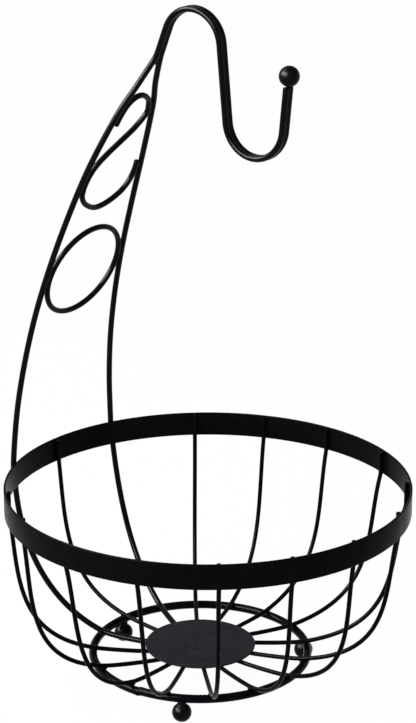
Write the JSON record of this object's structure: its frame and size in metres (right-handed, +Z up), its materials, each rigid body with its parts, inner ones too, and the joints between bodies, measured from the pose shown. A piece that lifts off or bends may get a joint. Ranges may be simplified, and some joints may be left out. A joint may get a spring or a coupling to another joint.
{
  "type": "fruit bowl with banana hanger",
  "caption": "Black wire fruit bowl with a flat rim band, round floor plate, ball feet and a curved two-wire banana hanger with an oval and a scroll.",
  "frame": {"origin": "on the rim band's axis, on the surface that the ball feet stand on", "axes": "+Z up, +Y towards the hanger at the back, -Y the way the hook reaches, +X to the right seen from the hook's side"},
  "size_m": [0.271, 0.271, 0.4551],
  "materials": {
    "black_coat": "black powder coat, satin",
    "plate_coat": "black powder coat, satin"
  },
  "bodies": {
    "root": {"rim_band": "black_coat", "rib_01": "black_coat", "rib_02": "black_coat", "rib_03": "black_coat", "rib_04": "black_coat", "rib_05": "black_coat", "rib_06": "black_coat", "rib_07": "black_coat", "rib_08": "black_coat", "rib_09": "black_coat", "rib_10": "black_coat", "rib_11": "black_coat", "rib_12": "black_coat", "rib_13": "black_coat", "rib_14": "black_coat", "hanger_wire_left": "black_coat", "hanger_wire_right": "black_coat", "oval_ring": "black_coat", "scroll": "black_coat", "hook_ball": "black_coat", "base_ring": "black_coat", "centre_plate": "plate_coat", "foot_ball_1": "black_coat", "foot_ball_2": "black_coat", "foot_ball_3": "black_coat"}
  },
  "joints": []
}
